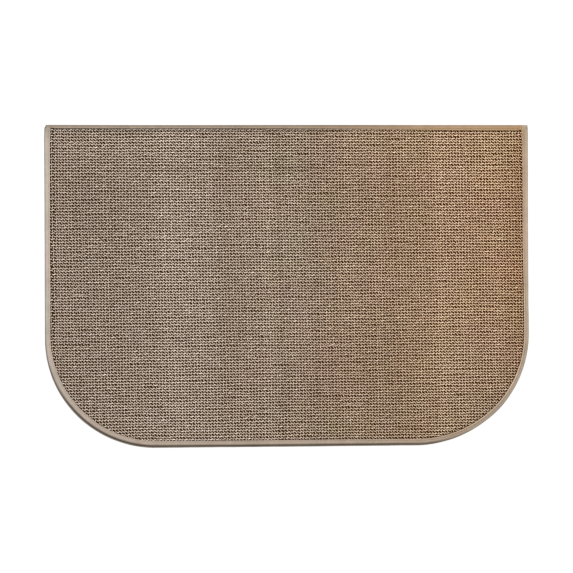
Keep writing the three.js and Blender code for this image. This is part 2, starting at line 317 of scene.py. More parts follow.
def mesh_piece(name, verts, faces, mat, tint=None, lay=None):
    """A mesh from arrays. verts are millimetres, faces a list of index arrays with
    one row a face, tint a colour and lay a pair of map coordinates a vertex."""
    me = bpy.data.meshes.new(name)
    me.vertices.add(len(verts))
    me.vertices.foreach_set("co", (verts * MM).astype(np.float32).ravel())
    loops = np.concatenate([f.ravel() for f in faces]).astype(np.int32)
    sizes = np.concatenate([np.full(len(f), f.shape[1]) for f in faces])
    me.loops.add(len(loops))
    me.loops.foreach_set("vertex_index", loops)
    me.polygons.add(len(sizes))
    me.polygons.foreach_set("loop_start", np.concatenate([[0], np.cumsum(sizes)[:-1]]).astype(np.int32))
    me.polygons.foreach_set("loop_total", sizes.astype(np.int32))
    me.polygons.foreach_set("use_smooth", np.ones(len(sizes), bool))
    me.update(calc_edges=True)
    me.validate()
    if tint is not None:
        layer = me.color_attributes.new("tint", "FLOAT_COLOR", "POINT")
        colour = np.ones((len(verts), 4), np.float32)
        colour[:, :3] = np.clip(tint, 0, 1)
        layer.data.foreach_set("color", colour.ravel())
    if lay is not None:
        layer = me.uv_layers.new(name="lay")
        layer.data.foreach_set("uv", lay[loops].astype(np.float32).ravel())
    me.materials.append(mat)
    ob = bpy.data.objects.new(name, me)
    bpy.context.scene.collection.objects.link(ob)
    return ob


def joined(parts):
    """Several (verts, faces, tint, lay) as one."""
    verts, tints, lays, faces, base = [], [], [], {}, 0
    for v, fs, t, l in parts:
        for f in fs:
            faces.setdefault(f.shape[1], []).append(f + base)
        verts.append(v), tints.append(t), lays.append(l)
        base += len(v)
    return np.concatenate(verts), [np.concatenate(f) for f in faces.values()], np.concatenate(tints), np.concatenate(lays)


def tube(centre, side, up, sides, phase):
    """A closed tube. side and up are the half axes of its section at each ring."""
    n = len(centre)
    t = phase + 2 * math.pi * np.arange(sides) / sides
    verts = centre[:, None] + side[:, None] * np.cos(t)[:, None] + up[:, None] * np.sin(t)[:, None]
    k = np.arange(sides)
    ring = np.arange(n - 1)[:, None] * sides
    a, b = ring + k, ring + (k + 1) % sides
    quads = np.stack([a, b, b + sides, a + sides], -1).reshape(-1, 4)
    caps = np.stack([k[::-1], k + (n - 1) * sides])
    return verts.reshape(-1, 3), quads, caps


# -------------------------------------------------------------------- weave
# Rows of weft run along the mat and columns of warp across it, over and under
# in turn. The columns lean a little, and both are wider spaced at the left.

ROW_PITCH, ROW_CLOSING, TOP_ROW = 4.49, 0.000028, 250.93
COLUMN_PITCH, COLUMN_CLOSING, LEAN = 5.098, 0.0008, math.tan(math.radians(1.27))
MID_Z = 2.4
WEFT = dict(rise=1.10, width=2.20, height=2.1, zigzag=0.80)
WARP = dict(rise=1.05, width=1.82, height=1.9, zigzag=0.93)
ROWS, COLUMNS = 112, 158

row_at = TOP_ROW - ROW_PITCH * np.arange(ROWS)
column_u = np.arange(COLUMNS)
column_x = -391.0 + COLUMN_PITCH * column_u - COLUMN_CLOSING * column_u**2

# where row j crosses column i
cross_x = column_x[None, :] - LEAN * row_at[:, None]
cross_y = TOP_ROW - ROW_PITCH * np.arange(ROWS)[:, None] * (1 - ROW_CLOSING * (cross_x - 25))
drift_x, drift_y = 0.45 * patches(cross_x, cross_y, 140.0), 0.40 * patches(cross_x, cross_y, 120.0, 0.8)
cross_x = cross_x + drift_x + wander(COLUMNS, row_at, 21.0, 0.28).T + rng.normal(0, 0.15, cross_x.shape)
cross_y = cross_y + drift_y + wander(ROWS, column_x, 22.0, 0.29) + rng.normal(0, 0.17, cross_y.shape)
cross_x += 1.5 * np.exp(-(((cross_x + 363) / 5) ** 2))  # closer columns by the left edge
# by the back tape the rows sit a little lower, most at the left
row_no = np.arange(ROWS)[:, None]
cross_y -= 1.5 * smooth(-90, -330, cross_x) * smooth(14, 6, row_no)
cross_y[1] -= 0.3 * smooth(70, 0, cross_x[1]) * smooth(-330, -90, cross_x[1])
over = np.where((np.arange(ROWS)[:, None] + column_u[None, :]) % 2 == 0, 1.0, -1.0)  # weft on top

# colour: warm towards the right, a little darker towards the front
YARN = linear(250, 236, 230) / EXPOSURE
# painted shade: the dark colour given to what lies deep between the yarns, partly the lower yarns' own brown
DEEP_SHADE = linear(74, 44, 8) / EXPOSURE
FLANK_SHADE = np.array([0.68, 0.56, 0.26])  # painted shade: how much darker and browner the sides of a yarn are painted than its top


WARMTH = np.array([  # x, red and blue of the yarns, as factors
    (-381, 1.0, 1.0), (-140, 1.0, 1.0), (-65, 1.03, 0.975), (0, 1.045, 0.95), (100, 1.07, 0.89), (200, 1.095, 0.84), (265, 1.135, 0.80), (330, 1.17, 0.78), (381, 1.17, 0.78)])


def cloth_tone(x, y):
    """(colour of the yarns, colour of the painted shade deep between them), as factors of YARN and DEEP_SHADE."""
    warm = smooth(-60, 270, x)[..., None]
    end = smooth(330, 375, x)[..., None]
    red, blue = along(WARMTH, x, 1), along(WARMTH, x, 2)
    front = 0.3 * smooth(-20, -140, y) * smooth(180, 330, x)  # less warm at the front right
    yarn = np.stack([1 + (red - 1) * (1 - front), np.ones_like(red), 1 + (blue - 1) * (1 - front)], -1) - end * np.array([0.07, 0.09, 0.11])
    deep = 1 + warm * (np.array([1.40, 0.85, 0.50]) - 1)
    level = 1.0 - 0.07 * smooth(-40, -240, y) * smooth(-60, 60, x) - 0.05 * smooth(-220, -340, x)
    level = level + 0.035 * smooth(-250, -200, x) * smooth(-60, -110, x) - 0.05 * smooth(-30, 10, x) * smooth(190, 150, x)
    level = level + 0.05 * smooth(200, 240, x) - 0.04 * smooth(235, 255, x) - 0.03 * smooth(280, 320, x)
    yarn = yarn * (1 - (smooth(80, 190, x) * smooth(-110, -190, y))[..., None] * np.array([0.045, 0.0, 0.0]))
    return yarn * level[..., None], deep


hue_a, hue_b = patches(cross_x, cross_y, 46.0), patches(cross_x, cross_y, 30.0, 0.9)
level_a, level_b = patches(cross_x, cross_y, 24.0, 0.1), patches(cross_x, cross_y, 110.0, 0.5)
yarn_tone, deep_tone = cloth_tone(cross_x, cross_y)
stained = (0.3 + 0.7 * smooth(-260, 100, cross_x))[..., None]
hue = 1 + stained * (0.011 * hue_a[..., None] * np.array([1.0, -0.8, 0.3]) + 0.009 * hue_b[..., None] * np.array([0.2, 0.8, -1.2]))
# bands of lighter and darker warps, and one dull row towards the back
band = 0.034 * wander(1, column_x, 38.0) + 0.030 * wander(1, column_x, 16.0)
level = (1 + 0.010 * level_a + 0.035 * level_b) * (1 + band)
dull = smooth(-280, -230, cross_x) * smooth(80, 40, cross_x) * np.array([0.0, 0.5, 1.0, 0.3])[np.clip(row_no - 13, 0, 3) * (row_no < 17)]
level = level * (1 - 0.13 * dull)
cloth = YARN * yarn_tone * hue * level[..., None] ** TONE
# colour of the painted shade deep in the cloth
deep_cloth = DEEP_SHADE * deep_tone * (1 + 0.14 * stained * hue_a[..., None] * np.array([1.0, -0.2, -0.3]))


def strand(points, value, axis, eased=True):
    """value at the crossings along axis, carried to the rings between them."""
    value = np.moveaxis(value, axis, 0)
    n = len(value) - 1
    i = np.minimum(np.floor(points + 1e-9).astype(int), n - 1)
    u = points - i
    e = (0.5 - 0.5 * np.cos(np.pi * u) if eased else u).reshape(-1, *[1] * (value.ndim - 1))
    return value[i] * (1 - e) + value[i + 1] * e


def runs(keep):
    """First and last index of each run that is kept."""
    edge = np.flatnonzero(np.diff(np.concatenate([[0], keep.astype(int), [0]])))
    return [(a, b) for a, b in zip(edge[::2], edge[1::2]) if b - a >= 4]


def weave_yarns(lines, kind):
    """The yarns of one kind as (verts, faces, tint, lay) for each."""
    weft = kind == "weft"
    spec, axis = (WEFT, 1) if weft else (WARP, 0)
    count = COLUMNS if weft else ROWS
    at = np.arange(0, (count - 1) * 3 + 1) / 3
    line_count = ROWS if weft else COLUMNS
    x, y = strand(at, cross_x, axis, not weft), strand(at, cross_y, axis, weft)  # ring, line
    sign = over if weft else -over
    crest = sign * spec["rise"] * (1 + rng.normal(0, 0.05, sign.shape))
    bead = strand(at, rng.normal(0, 0.045, sign.shape) + 0.20 * (rng.random(sign.shape) > 0.93), axis)
    z = strand(at, crest, axis)
    # each yarn leans to the left of its way at a crossing and swings back between
    swing = spec["zigzag"] * np.sin(2 * np.pi * at)[:, None] * (1 + 0.15 * rng.standard_normal((1, line_count)))
    before = np.moveaxis(sign, axis, 0)[np.minimum(np.floor(at + 1e-9).astype(int), count - 1)]
    third = np.round((at - np.floor(at + 1e-9)) * 3).astype(int)[:, None]
    if weft:
        y = y + swing + 0.27 * ((third == 1) & (before > 0))
    else:
        x = x - swing
    climbing = ((third > 0) & (before < 0)).astype(float)  # coming up from under a crossing
    colour = np.stack([strand(at, cloth[..., c], axis) for c in range(3)], -1)
    deep = np.stack([strand(at, deep_cloth[..., c], axis) for c in range(3)], -1)
    # slubs: each yarn is thicker and lighter here and there
    length = at * (COLUMN_PITCH if weft else ROW_PITCH)
    slub = wander(line_count, length, 17.0).T
    fine = wander(line_count, length, 5.5).T
    thick = 1 + 0.015 * slub + 0.018 * fine
    if weft:
        thick[:, 1] *= 1.2
    light = 1 + 0.01 * slub + 0.014 * fine + 0.08 * smooth(1.25, 2.4, slub) + bead + rng.normal(0, 0.018 if weft else 0.05, (1, line_count)) + rng.normal(0, 0.035, x.shape)
    if not weft:
        # painted shade: the warp is darker where it climbs up from under a crossing
        light = light * 0.97 * (1 - 0.24 * climbing)
    colour = colour * np.maximum(light, 0.1)[..., None] ** TONE
    out, inner = depth(x, y)
    pinch = smooth(2.2, -1.6, inner)
    # painted shadow: darker where the yarns go under the side tape, most along the lower right, and along the inner
    # edge of the back tape over the left half and the middle
    from_back = along(BACK_EDGE, x, 1) - along(BACK_EDGE, x, 2) - y
    side_on = smooth(2, 7, from_back)
    by_back = 0.55 * smooth(2.2, 0.8, from_back)
    shadow = 1 - side_on * (0.35 * smooth(1.0, -1.0, inner) + 0.38 * smooth(2.6, 0.8, inner) * smooth(190, 250, x) * smooth(60, 10, y))
    shadow = shadow * (1 - (0.22 - 0.12 * smooth(-310, -350, x)) * smooth(7.5, 5.0, from_back) * smooth(160, 20, x))
    width = spec["width"] * thick * (1 if weft else 1 - 0.14 * climbing)
    height = spec["height"] * (1 - 0.38 * pinch) * (0.85 + 0.15 * thick)
    z = MID_Z + 0.65 * pinch + z * (1 - 0.62 * pinch)
    sides = 5 if weft else 4
    for line in lines:
        for a, b in runs((inner[:, line] > -3.2) & (out[:, line] > 2.9)):
            centre = np.stack([x[a:b, line], y[a:b, line], z[a:b, line]], -1)
            along_it = np.gradient(centre, axis=0)
            along_it /= np.linalg.norm(along_it, axis=1)[:, None]
            side = np.cross([0, 0, 1.0], along_it)
            side /= np.linalg.norm(side, axis=1)[:, None]
            up = np.cross(along_it, side)
            w, h = width[a:b, line, None] / 2, height[a:b, line, None] / 2
            verts, quads, caps = tube(centre, side * w, up * h, sides, math.pi / 2)
            # painted shade: the outer face of the cloth keeps the light yarn colour, what lies deeper is painted dark
            ring = np.repeat(np.arange(b - a), sides)
            rise = np.abs(verts[:, 2] - MID_Z - 0.65 * pinch[a:b, line][ring])
            unshaded = np.maximum(smooth(-0.1, 0.6, rise), by_back[a:b, line][ring])[:, None]
            base = colour[a:b, line][ring]
            tint = deep[a:b, line][ring] * (1 - unshaded) + base * unshaded
            # painted shade on the sides of each yarn, browner still towards the right
            flank = np.abs(np.cos(math.pi / 2 + 2 * math.pi * np.arange(sides) / sides))
            warm = smooth(-60, 270, x[a:b, line])[ring][:, None]
            far = smooth(215, 265, x[a:b, line])[ring][:, None]
            tint *= 1 - np.tile(flank, b - a)[:, None] * (1 - FLANK_SHADE * (1 - 0.08 * far) * (1 - warm * np.array([0.0, 0.10, 0.26])))
            tint *= 1 + smooth(1.3, 2.1, rise)[:, None] * np.array([0.03, 0.05, 0.13])  # painted highlight: paler on the crests
            tint *= shadow[a:b, line][ring][:, None]
            lay = np.stack([length[a:b][ring], np.tile(np.arange(sides) / sides, b - a)], -1)
            yield verts, [quads, caps], tint, lay


pieces = []
weft_bands = np.array_split(np.arange(ROWS), 3)
warp_bands = np.array_split(np.arange(COLUMNS), 2)
for name, bands, kind, mat in (("weft", weft_bands, "weft", weft_yarn), ("warp", warp_bands, "warp", warp_yarn)):
    state = rng.bit_generator.state
    for k, lines in enumerate(bands):
        rng.bit_generator.state = state  # each band draws from the same yarns
        verts, faces, tint, lay = joined(list(weave_yarns(lines, kind)))
        ob = mesh_piece(f"{name}_yarns_{k + 1}", verts, faces, mat, tint, lay)
        pieces.append(ob)

# ------------------------------------------------------------- ground sheet
# The dark inner face of the cloth, half way down, with the outline of the cut
# cloth inside the tape. Its dark is partly the lower yarns' own brown, partly painted shade.


def outline(inset, step):
    """Closed line at a distance inside the outline, anticlockwise from the back left."""
    pts = []
    for y in np.arange(LEFT_TOP - 2, LEFT_CENTRE[1], -step):
        pts.append((along(LEFT_SIDE, y, 1) + inset, y))
    for a in np.arange(180, 270, math.degrees(step / 172)):
        r, t = along(LEFT_CORNER, a, 1) - inset, math.radians(a)
        pts.append((LEFT_CENTRE[0] + r * math.cos(t), LEFT_CENTRE[1] + r * math.sin(t)))
    for x in np.arange(LEFT_CENTRE[0], RIGHT_CENTRE[0], step):
        pts.append((x, along(FRONT_EDGE, x, 1) + inset))
    for a in np.arange(270, 360, math.degrees(step / 176)):
        r, t = along(RIGHT_CORNER, a, 1) - inset, math.radians(a)
        pts.append((RIGHT_CENTRE[0] + r * math.cos(t), RIGHT_CENTRE[1] + r * math.sin(t)))
    for y in np.arange(RIGHT_CENTRE[1], 246.0, step):
        pts.append((along(RIGHT_SIDE, y, 1) - inset, y))
    rx, lx = along(RIGHT_SIDE, 250, 1) - inset, along(LEFT_SIDE, 250, 1) + inset
    for x in np.arange(rx - 4, lx + 4, -step):
        pts.append((x, along(BACK_EDGE, x, 1) - inset))
    return np.array(pts, float)


def ground_sheet():
    rim = outline(2.6, 7.0)
    middle = np.array([0.0, -5.0])
    shares = np.array([1.0, 0.995, 0.985, 0.96, 0.88, 0.7, 0.5, 0.25])
    n = len(rim)
    layers = []
    for z_off in (0.12, -0.12):
        rings = [middle + (rim - middle) * s for s in shares]
        flat = np.concatenate(rings + [middle[None]])
        _, inner = depth(flat[:, 0], flat[:, 1])
        z = MID_Z + 0.65 * smooth(2.2, -1.6, inner) + z_off
        layers.append(np.column_stack([flat, z]))
    count = len(layers[0])
    k = np.arange(n)
    quads, tris = [], []
    for r in range(len(shares) - 1):
        a, b = r * n + k, r * n + (k + 1) % n
        quads.append(np.stack([a, b, b + n, a + n], -1))
        quads.append(np.stack([a, a + n, b + n, b], -1) + count)
    last = (len(shares) - 1) * n
    tris.append(np.stack([last + k, last + (k + 1) % n, np.full(n, count - 1)], -1))
    tris.append(np.stack([last + (k + 1) % n, last + k, np.full(n, count - 1)], -1) + count)
    quads.append(np.stack([k, k + count, (k + 1) % n + count, (k + 1) % n], -1))
    verts = np.concatenate(layers)
    _, tone = cloth_tone(verts[:, 0], verts[:, 1])
    # painted shade: the sheet is coloured darker than the deep colour of the yarns
    return mesh_piece("woven_ground", verts, [np.concatenate(quads), np.concatenate(tris)], ground_yarn, DEEP_SHADE * tone * np.array([0.55, 0.55, 0.3]))


ground = ground_sheet()
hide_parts("woven_panel")

# --------------------------------------------------------------------- tape

STEP = 1.7


def edge_path():
    """Stations of the side and front tape, as columns x, y, tape and zone, where
    zone runs 0-1 down the left, 1-2 round the left corner, 2-3 along the front,
    3-4 round the right corner and 4-5 up the right."""
    rows = []

    def spaced(a, b):
        return np.linspace(a, b, max(2, int(round(abs(b - a) / STEP)) + 1))

    for y in spaced(LEFT_TOP, LEFT_CENTRE[1]):
        rows.append((along(LEFT_SIDE, y, 1), y, along(LEFT_SIDE, y, 2), (LEFT_TOP - y) / (LEFT_TOP - LEFT_CENTRE[1])))
    for (cx, cy), table, base in ((LEFT_CENTRE, LEFT_CORNER, 1), (RIGHT_CENTRE, RIGHT_CORNER, 3)):
        if base == 3:
            for x in spaced(LEFT_CENTRE[0], RIGHT_CENTRE[0])[1:]:
                rows.append((x, along(FRONT_EDGE, x, 1), along(FRONT_EDGE, x, 2), 2 + (x - LEFT_CENTRE[0]) / (RIGHT_CENTRE[0] - LEFT_CENTRE[0])))
        a0 = table[0, 0]
        for a in np.linspace(a0, a0 + 90, int(90 / math.degrees(STEP / 172)))[1:]:
            r, t = along(table, a, 1), math.radians(a)
            rows.append((cx + r * math.cos(t), cy + r * math.sin(t), along(table, a, 2), base + (a - a0) / 90))
    for y in spaced(RIGHT_CENTRE[1], RIGHT_TOP)[1:]:
        rows.append((along(RIGHT_SIDE, y, 1), y, along(RIGHT_SIDE, y, 2), 4 + (y - RIGHT_CENTRE[1]) / (RIGHT_TOP - RIGHT_CENTRE[1])))
    return np.array(rows, float)


# How the tape looks along its way: seam is the place of the stitches as a share
# of its width, lip how proud the edge inside them stands and how strong the painted
# highlight on it is, and shade how dark the painted shade on the turn of the fold is,
# dark_at millimetres in and spread wide. dip is how dark the painted shade in the
# valley along the stitches is, and reach how far the tape's loose inner edge
# lies over the cloth.
EDGE_LOOK = np.array([  # zone, seam, groove, lip, shade, dark_at, spread, dip, reach, pitch
    (0.00, 0.79, 0.25, 0.14, 0.30, 1.2, 0.8, 0.12, 0.2, 4.5),
    (0.25, 0.79, 0.25, 0.20, 0.33, 1.2, 0.8, 0.12, 0.2, 4.5),
    (0.90, 0.79, 0.25, 0.20, 0.40, 1.3, 0.8, 0.12, 0.2, 4.5),
    (1.10, 0.84, 0.20, 0.08, 0.70, 1.5, 1.0, 0.08, 0.2, 4.6),
    (1.27, 0.86, 0.20, 0.04, 0.86, 2.0, 1.3, 0.06, 0.4, 4.6),
    (1.50, 0.87, 0.20, 0.03, 0.92, 3.1, 1.9, 0.09, 0.7, 4.6),
    (1.85, 0.87, 0.20, 0.00, 0.92, 3.1, 2.1, 0.13, 0.7, 4.8),
    (2.15, 0.86, 0.28, 0.00, 0.93, 2.6, 1.5, 0.17, 0.3, 4.8),
    (2.60, 0.86, 0.28, 0.00, 0.93, 2.6, 1.5, 0.17, 0.2, 4.8),
    (2.90, 0.80, 0.30, 0.05, 0.93, 2.6, 1.5, 0.12, -0.1, 4.8),
    (3.08, 0.75, 0.35, 0.08, 0.90, 2.3, 1.2, 0.09, 0.2, 4.8),
    (3.22, 0.70, 0.40, 0.35, 0.55, 1.8, 1.0, 0.18, 0.3, 4.8),
    (3.38, 0.61, 0.45, 0.45, 0.18, 1.6, 0.9, 0.24, 0.5, 4.6),
    (3.70, 0.57, 0.45, 0.50, 0.10, 1.6, 0.9, 0.22, 0.6, 4.6),
    (4.10, 0.62, 0.30, 0.32, 0.04, 1.5, 0.8, 0.12, 0.5, 4.3),
    (4.50, 0.80, 0.20, 0.05, 0.00, 1.5, 0.8, 0.05, 1.1, 4.3),
    (4.88, 0.72, 0.20, 0.15, 0.00, 1.2, 0.7, 0.08, 0.2, 4.3),
    (5.00, 0.72, 0.20, 0.15, 0.35, 1.0, 0.7, 0.08, 0.3, 4.3),
])
TAPE_GAIN = np.array([1.09, 1.09, 1.13])  # what the weave of the tape takes off its colour
OUTER_COLOUR = np.array([  # zone, red, green, blue of the tape's outer half in flat light
    (0.00, 162, 153, 141), (0.03, 181, 171, 158), (0.08, 193, 183, 171), (0.90, 191, 181, 170), (1.50, 184, 171, 156), (2.50, 176, 160, 144),
    (3.20, 182, 164, 145), (3.70, 186, 170, 151), (4.15, 195, 176, 153), (4.60, 200, 178, 151), (4.90, 193, 171, 144), (5.00, 197, 175, 147),
])
INNER_COLOUR = np.array([  # and of its inner half
    (0.00, 164, 152, 137), (0.03, 180, 166, 150), (0.08, 194, 180, 164), (0.90, 191, 177, 161), (1.50, 185, 170, 154), (2.50, 179, 161, 142),
    (3.20, 176, 154, 131), (3.70, 184, 162, 139), (4.15, 186, 163, 139), (4.60, 184, 159, 133), (4.90, 180, 156, 130), (5.00, 170, 146, 118),
])


def tape_top(d, width, seam, groove, lip):
    """Height of the tape's upper face at a distance in from the edge."""
    high = 4.2 * width / 9
    u = np.clip(1 - d / high, 0, 1)
    z = TAPE_MID_Z + (EDGE_H - TAPE_MID_Z) * np.sqrt(1 - u**2)
    inner = width - d
    z = z - groove * np.exp(-(((d - seam * width) / 0.75) ** 2))
    z = z + (lip - 0.12) * np.exp(-(((inner - 1.0) / 0.8) ** 2)) - 0.05
    return z - 0.85 * np.clip(1 - inner / 0.7, 0, 1) ** 2


def tape_section(width, seam):
    """The places round the section as d, z, level: level 1 is the upper face, 0 the
    lower turn, -1 the underside with the furrow of its stitches and 2 the slot
    that holds the cloth."""
    k = width / 9
    place = seam * width
    rows = [(width, 0.0, -1), (place + 0.8, 0.0, -1), (place, 0.5, -1), (place - 0.8, 0.0, -1), (2.4 * k, 0.0, -1)]
    for a in (25, 50, 72):
        t = math.radians(a)
        rows.append((2.4 * k * (1 - math.sin(t)), TAPE_MID_Z * (1 - math.cos(t)), 0))
    for a in (0, 17, 34, 51, 68):
        t = math.radians(a)
        rows.append((4.2 * k * (1 - math.cos(t)), 0.0, 1))
    for share in np.linspace(4.2 * k / width, 1, 11)[1:]:
        rows.append((share * width, 0.0, 1))
    rows += [(width - 0.12, TAPE_CAVITY_Z + 0.02, 2), (width * 0.6, TAPE_CAVITY_Z + 0.02, 2), (TAPE_WALL, TAPE_CAVITY_Z + 0.02, 2),
             (TAPE_WALL, TAPE_T, 2), (width * 0.6, TAPE_T, 2), (width - 0.05, TAPE_T - 0.1, 2)]
    return rows


def tape_edge():
    path = edge_path()
    x, y, width, zone = path.T
    seam, groove, lip, shade, dark_at, spread, dip, reach, pitch = (along(EDGE_LOOK, zone, c) for c in range(1, 10))
    width = width + reach
    s = np.concatenate([[0], np.cumsum(np.hypot(np.diff(x), np.diff(y)))])
    uneven = smooth(4.1, 4.4, zone) * wander(1, s, 2.3)[0]
    width = width + 0.05 * wander(1, s, 9.0)[0] + 0.16 * uneven
    tx, ty = np.gradient(x), np.gradient(y)
    length = np.hypot(tx, ty)
    nx, ny = -ty / length, tx / length
    nx[0], ny[0], nx[-1], ny[-1] = 1, 0, -1, 0
    outer_colour, inner_colour = (np.stack([along(rows, zone, c) for c in (1, 2, 3)], -1) for rows in (OUTER_COLOUR, INNER_COLOUR))
    stitch = np.cumsum(np.concatenate([[0], np.diff(s) / pitch[1:]]))
    sections = [np.array(tape_section(w, q)) for w, q in zip(width, seam)]
    section = np.stack(sections)  # station, point, (d, z, level)
    m = section.shape[1]
    d, z, level = section[..., 0], section[..., 1].copy(), section[..., 2]
    S = s[:, None]
    # small unevenness: the fold breathes, and the tape gathers round the corners
    breathe = 0.07 * wander(1, s, 26.0)[0] + 0.05 * wander(1, s, 8.0)[0]
    arc = smooth(1.0, 1.2, zone) * smooth(2.0, 1.8, zone) + smooth(3.0, 3.2, zone) * smooth(4.0, 3.8, zone)
    gather = (0.05 + 0.09 * arc) * wander(1, s, 3.4)[0]
    pull = 0.5 + 0.5 * np.cos(2 * np.pi * stitch)
    top = tape_top(d, width[:, None], seam[:, None], (groove * (0.7 + 0.6 * pull))[:, None], lip[:, None])
    top = top + breathe[:, None] * smooth(0.5, 4.0, d) + gather[:, None] * smooth(0.45, 0.9, d / width[:, None])
    top = np.minimum(top, EDGE_H + 0.25)
    upper = level == 1
    z = np.where(upper, top, z)
    d_out = d + np.where(upper | (level == 0), 0.035 * wander(1, s, 11.0)[0][:, None] * smooth(3.0, 0.0, d), 0)
    verts = np.stack([x[:, None] + nx[:, None] * d_out, y[:, None] + ny[:, None] * d_out, z], -1)
    # colour
    base_out, base_in = (np.stack([linear(*c) for c in rows])[:, None] * TAPE_GAIN / EXPOSURE for rows in (outer_colour, inner_colour))
    inward = smooth(0.2, 0.65, d / width[:, None])[..., None]
    base = base_out * (1 - inward) + base_in * inward
    # painted shade: a dark line along the turn of the fold, most along the left corner and the front
    line = np.exp(-(((d - dark_at[:, None]) / spread[:, None]) ** 2)) * (1 - (0.75 - 0.5 * smooth(1.0, 0.7, zone))[:, None] * smooth(1.7, 0.0, d))
    dark = 1 - (shade[:, None] * line * upper)[..., None] * np.array([0.99, 1.0, 1.025])
    # painted shade in the valley along the stitches
    stitch_valley_shade = 1 - dip[:, None] * np.exp(-(((d - (seam * width)[:, None]) / 0.95) ** 2)) * (0.3 + 1.1 * pull[:, None]) * upper
    inner_d = width[:, None] - d
    # painted highlight on the raised lip inside the stitches
    lip_highlight = 1 + (0.05 + 0.72 * lip[:, None]) * (1.5 - 1.0 * pull[:, None]) * np.exp(-(((inner_d - 0.9) / 0.8) ** 2)) * upper
    lip_highlight = lip_highlight * (1 + 0.05 * uneven[:, None] * smooth(3.4, 1.0, inner_d) * upper)
    tone = 1 + 0.025 * wander(1, s, 14.0)[0][:, None] + 0.02 * wander(1, s, 5.0)[0][:, None]
    hue = 1 + 0.012 * wander(1, s, 30.0)[0][:, None, None] * np.array([1.0, -0.3, 0.6])
    tint = base * dark * (stitch_valley_shade * lip_highlight * tone)[..., None] * hue
    # painted shade inside the slot that holds the cloth
    tint = np.where((level == 2)[..., None], tint * 0.6, tint)
    k, n = np.arange(m), len(path)
    ring = np.arange(n - 1)[:, None] * m
    a, b = ring + k, ring + (k + 1) % m
    quads = np.stack([a, a + m, b + m, b], -1).reshape(-1, 4)
    caps = np.stack([k, (k + (n - 1) * m)[::-1]])
    lay = np.stack([np.broadcast_to(S, d.shape), np.cumsum(np.abs(np.diff(d, axis=1, prepend=d[:, :1])), 1)], -1)
    ob = mesh_piece("edge_tape", verts.reshape(-1, 3), [quads, caps], side_tape, tint.reshape(-1, 3), lay.reshape(-1, 2))
    stations = dict(x=x, y=y, nx=nx, ny=ny, s=s, width=width, seam=seam, groove=groove, lip=lip, stitch=stitch, colour=base_in[:, 0])
    return ob, stations


edge, edge_line = tape_edge()
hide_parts("edge_binding")

BACK_LOOK = np.array([  # x, red, green, blue, seam
    (-381, 175, 156, 134, 0.82), (0, 172, 152, 129, 0.82), (100, 169, 144, 116, 0.80), (240, 182, 151, 116, 0.70), (381, 181, 147, 106, 0.68)])


